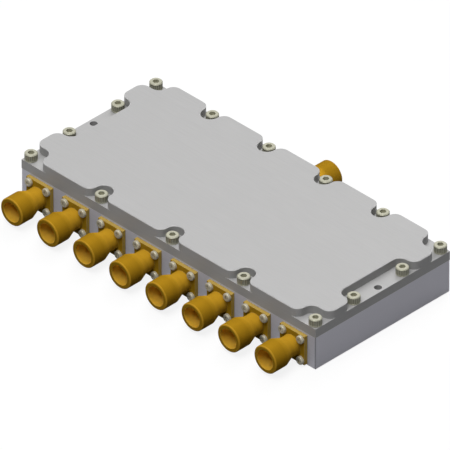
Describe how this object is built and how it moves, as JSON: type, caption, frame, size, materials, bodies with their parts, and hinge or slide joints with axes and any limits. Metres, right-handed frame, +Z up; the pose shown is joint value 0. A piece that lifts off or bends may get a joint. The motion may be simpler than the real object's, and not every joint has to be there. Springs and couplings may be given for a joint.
{
  "type": "rf power splitter",
  "caption": "Flat milled metal box with a notched raised cover, a row of gold coaxial jacks on one long side and one on the other, dividing one signal into equal ones.",
  "frame": {"origin": "middle of the housing's flat underside", "axes": "+X along the long side, -Y out of the row of output jacks, +Y out of the input jack, +Z up out of the cover"},
  "size_m": [0.1524, 0.101, 0.0218],
  "materials": {
    "housing_aluminium": "milled, bluish grey, satin",
    "cover_aluminium": "milled, light grey, satin",
    "cover_screw_steel": "stainless, warm, turned",
    "flange_screw_steel": "stainless, polished head",
    "jack_gold": "turned brass, gold plated",
    "contact_gold": "turned and slotted, gold plated",
    "white_insulator": "turned white PTFE",
    "board_laminate": "pale woven laminate",
    "copper_track": "etched copper, tinned",
    "board_screw_steel": "stainless pan head",
    "resistor_ceramic": "dark glazed ceramic chip"
  },
  "bodies": {
    "root": {"housing": "housing_aluminium", "cover": "cover_aluminium", "cover_screws": "cover_screw_steel", "flange_screws": "flange_screw_steel", "circuit_board": "board_laminate", "divider_copper": "copper_track", "board_screws": "board_screw_steel", "output_1_jack": "jack_gold", "output_1_insulator": "white_insulator", "output_1_contact": "contact_gold", "output_2_jack": "jack_gold", "output_2_insulator": "white_insulator", "output_2_contact": "contact_gold", "output_3_jack": "jack_gold", "output_3_insulator": "white_insulator", "output_3_contact": "contact_gold", "output_4_jack": "jack_gold", "output_4_insulator": "white_insulator", "output_4_contact": "contact_gold", "output_5_jack": "jack_gold", "output_5_insulator": "white_insulator", "output_5_contact": "contact_gold", "output_6_jack": "jack_gold", "output_6_insulator": "white_insulator", "output_6_contact": "contact_gold", "output_7_jack": "jack_gold", "output_7_insulator": "white_insulator", "output_7_contact": "contact_gold", "output_8_jack": "jack_gold", "output_8_insulator": "white_insulator", "output_8_contact": "contact_gold", "input_jack": "jack_gold", "input_insulator": "white_insulator", "input_contact": "contact_gold", "resistor_1": "resistor_ceramic", "resistor_2": "resistor_ceramic", "resistor_3": "resistor_ceramic", "resistor_4": "resistor_ceramic", "resistor_5": "resistor_ceramic", "resistor_6": "resistor_ceramic", "resistor_7": "resistor_ceramic"}
  },
  "joints": []
}
